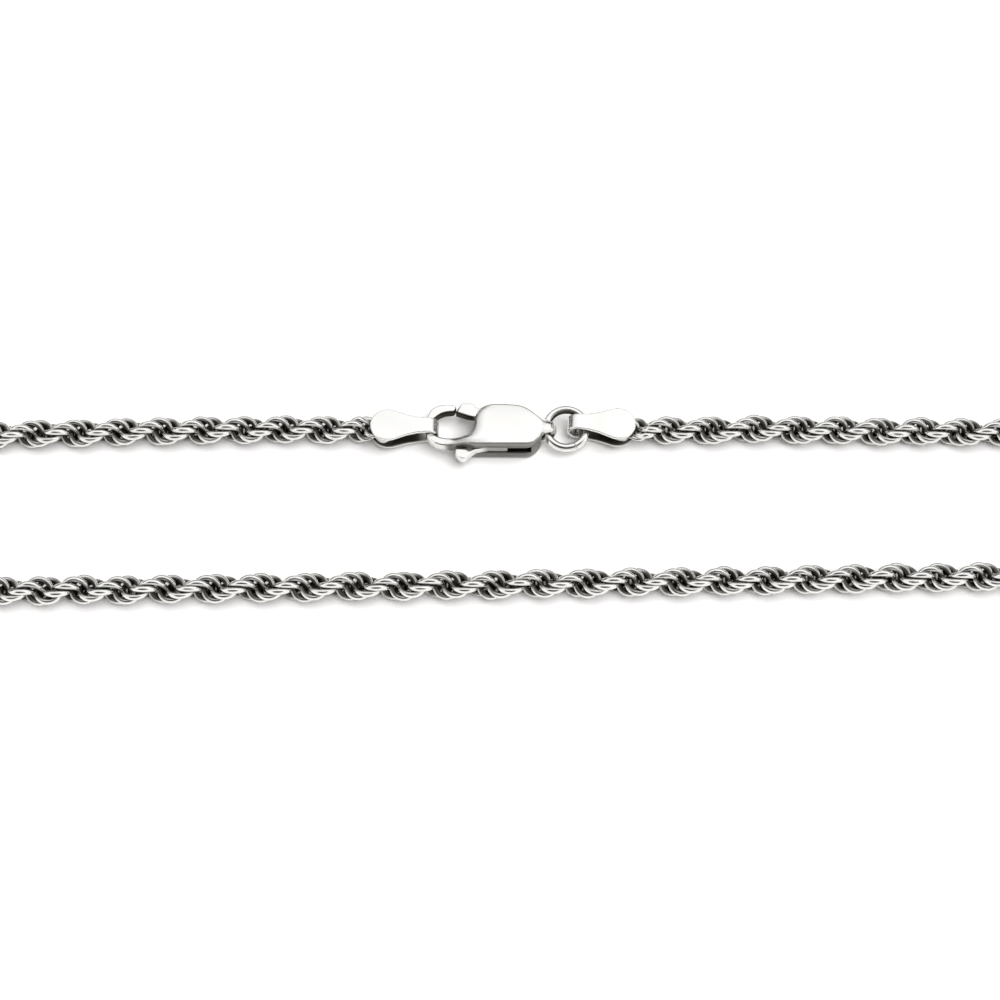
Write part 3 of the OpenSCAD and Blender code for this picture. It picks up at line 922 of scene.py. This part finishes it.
def finish_piece(piece, body, slot, material=None):
    piece.data.materials.append(MATERIALS[material or slot])
    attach(piece, body)


def dress_node(name, slot):
    """Gives a CAD node that stays its detailed material."""
    for place in frame["nodes"][name].material_slots:
        place.material = MATERIALS[slot]


# Floor, light and camera

FLOOR_HALF = 3000.0
# The floor lies just under the chain, so that the two don't touch
FLOOR_Z = -0.005
FLOOR_SEEN = (0.93, 0.921, 0.918)
FLOOR_MIRRORED = (0.8, 0.785, 0.765)
# White tent that the metal mirrors. The low dark band at its back fades upwards between two heights,
# in degrees, and forwards between two values of y in the unit vector that points at it
TENT_GLOW = 1.22
BAND_TOP = (17, 36)
BAND_FRONT = (0.3, 0.1)
BAND_GLOW = 0.03
# Dark patch in the tent where a camera would stand: its height in degrees, the sines of its half width
# and half height, the squares of the shares of them between which it fades, and its strength
PATCH_UP = 57
PATCH_HALF_WIDTH = 0.66
PATCH_HALF_HEIGHT = 0.52
PATCH_FADE = (0.7, 1.25)
PATCH_GLOW = 0.04
# Soft light that falls on the floor: where it comes from, the angles from there at which it is full
# and gone, and its strength and that of the rest of the room
LIGHT_AIM = (0.5, -0.02, 1.0)
LIGHT_FULL = 14
LIGHT_GONE = 46
LIGHT_GLOW = 5.8
ROOM_GLOW = 0.1


def sheet_colour(tree):
    """The sheet's colour, dimmer in reflections, as of a sheet that a camera exposes to white."""
    shade = tree.nodes.new("ShaderNodeMix")
    shade.data_type = "RGBA"
    shade.inputs["A"].default_value = (*FLOOR_SEEN, 1)
    shade.inputs["B"].default_value = (*FLOOR_MIRRORED, 1)
    path = tree.nodes.new("ShaderNodeLightPath")
    tree.links.new(path.outputs["Is Glossy Ray"], shade.inputs["Factor"])
    return shade.outputs["Result"]


def make_floor():
    corners = [(-1, -1), (1, -1), (1, 1), (-1, 1)]
    points = [(x * FLOOR_HALF, y * FLOOR_HALF, FLOOR_Z) for x, y in corners]
    floor = new_object("floor", points, [(0, 1, 2, 3)], smooth=False)
    material = bpy.data.materials.new("floor_paper")
    material.use_nodes = True
    tree = material.node_tree
    shader = tree.nodes["Principled BSDF"]
    shader.inputs["Specular IOR Level"].default_value = 0.05
    shader.inputs["Roughness"].default_value = 0.9
    tree.links.new(sheet_colour(tree), shader.inputs["Base Color"])
    floor.data.materials.append(material)


def vector_math(tree, kind, a, b):
    node = tree.nodes.new("ShaderNodeVectorMath")
    node.operation = kind
    tree.links.new(a, node.inputs[0])
    node.inputs[1].default_value = b
    return node


def product(tree, a, b, add=None):
    """a * b, or a * b + add, of which b may be a plain number."""
    node = tree.nodes.new("ShaderNodeMath")
    node.operation = "MULTIPLY" if add is None else "MULTIPLY_ADD"
    tree.links.new(a, node.inputs[0])
    if isinstance(b, float):
        node.inputs[1].default_value = b
    else:
        tree.links.new(b, node.inputs[1])
    if add is not None:
        tree.links.new(add, node.inputs[2])
    return node.outputs[0]


def tent_glow(tree, way):
    """Strength of what the metal mirrors: white, but for a low band at the back and the patch."""
    split = tree.nodes.new("ShaderNodeSeparateXYZ")
    tree.links.new(way, split.inputs[0])
    band_low, band_high = [math.sin(math.radians(degrees)) for degrees in BAND_TOP]
    above = ramp(tree, split.outputs["Z"], band_low, band_high, BAND_GLOW, 1.0)
    front = ramp(tree, split.outputs["Y"], *BAND_FRONT)
    walls = combine(tree, "MAXIMUM", above, front)
    lean = math.radians(PATCH_UP)
    upright = (0, math.sin(lean) / PATCH_HALF_HEIGHT, math.cos(lean) / PATCH_HALF_HEIGHT)
    across = vector_math(tree, "DOT_PRODUCT", way, (1 / PATCH_HALF_WIDTH, 0, 0)).outputs["Value"]
    up = vector_math(tree, "DOT_PRODUCT", way, upright).outputs["Value"]
    from_patch = product(tree, up, up, add=product(tree, across, across))
    patch = ramp(tree, from_patch, *PATCH_FADE, PATCH_GLOW, 1.0)
    return product(tree, combine(tree, "MULTIPLY", walls, patch), TENT_GLOW)


def light_glow(tree, way):
    """Strength of what lights the floor: one wide soft light overhead, a little to the right."""
    aim = tuple(unit(np.array(LIGHT_AIM)))
    overhead = vector_math(tree, "DOT_PRODUCT", way, aim).outputs["Value"]
    gone, full = math.cos(math.radians(LIGHT_GONE)), math.cos(math.radians(LIGHT_FULL))
    return ramp(tree, overhead, gone, full, ROOM_GLOW, LIGHT_GLOW)


def make_world():
    """Plain soft studio: what the metal mirrors, what lights the floor, and a white background."""
    world = bpy.data.worlds.new("studio")
    bpy.context.scene.world = world
    world.use_nodes = True
    tree = world.node_tree
    tree.nodes.clear()
    way = tree.nodes.new("ShaderNodeTexCoord").outputs["Generated"]
    way = vector_math(tree, "NORMALIZE", way, (0, 0, 0)).outputs["Vector"]
    tent = tree.nodes.new("ShaderNodeBackground")
    tree.links.new(tent_glow(tree, way), tent.inputs["Strength"])
    light = tree.nodes.new("ShaderNodeBackground")
    tree.links.new(light_glow(tree, way), light.inputs["Strength"])
    white = node_of(tree, "ShaderNodeBackground", Color=(1, 1, 1, 1), Strength=1.0)
    path = tree.nodes.new("ShaderNodeLightPath")
    shown = mix_shader(tree, path.outputs["Is Glossy Ray"], light, tent)
    shown = mix_shader(tree, path.outputs["Is Camera Ray"], shown, white)
    out = tree.nodes.new("ShaderNodeOutputWorld")
    tree.links.new(shown.outputs[0], out.inputs["Surface"])


def mix_shader(tree, factor, first, second):
    node = tree.nodes.new("ShaderNodeMixShader")
    tree.links.new(factor, node.inputs[0])
    tree.links.new(first.outputs[0], node.inputs[1])
    tree.links.new(second.outputs[0], node.inputs[2])
    return node


def make_camera():
    lean = math.radians(VIEW_ELEVATION)
    target = Vector(VIEW_TARGET) * MM
    back = Vector((0, -math.cos(lean), math.sin(lean)))
    data = bpy.data.cameras.new("camera")
    data.lens = VIEW_LENS
    data.sensor_width = 36
    data.clip_start = 0.001
    data.clip_end = 20
    camera = bpy.data.objects.new("camera", data)
    camera.location = target + back * VIEW_DISTANCE * MM
    camera.rotation_mode = "QUATERNION"
    camera.rotation_quaternion = (-back).to_track_quat("-Z", "Y")
    bpy.context.scene.collection.objects.link(camera)
    bpy.context.scene.camera = camera


for leftover in list(bpy.data.objects):
    bpy.data.objects.remove(leftover)
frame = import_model()

make_camera()
make_world()
MATERIALS.update(make_materials())
make_floor()
make_chain()
make_clasp_body()
make_clasp_lever()
make_end_tag("tag_left_sheet", "end_tag_left", LEFT_FOLD, 180)
make_end_tag("tag_right_sheet", "end_tag_right", RIGHT_FOLD, RIGHT_TAG_TURN)
make_solder("solder_left", LEFT_FOLD, 180)
make_solder("solder_right", RIGHT_FOLD, RIGHT_TAG_TURN)
dress_node("jump_ring", "ring_silver")
dress_node("lever_pin", "pin_steel")
bpy.context.scene.view_settings.view_transform = "Standard"
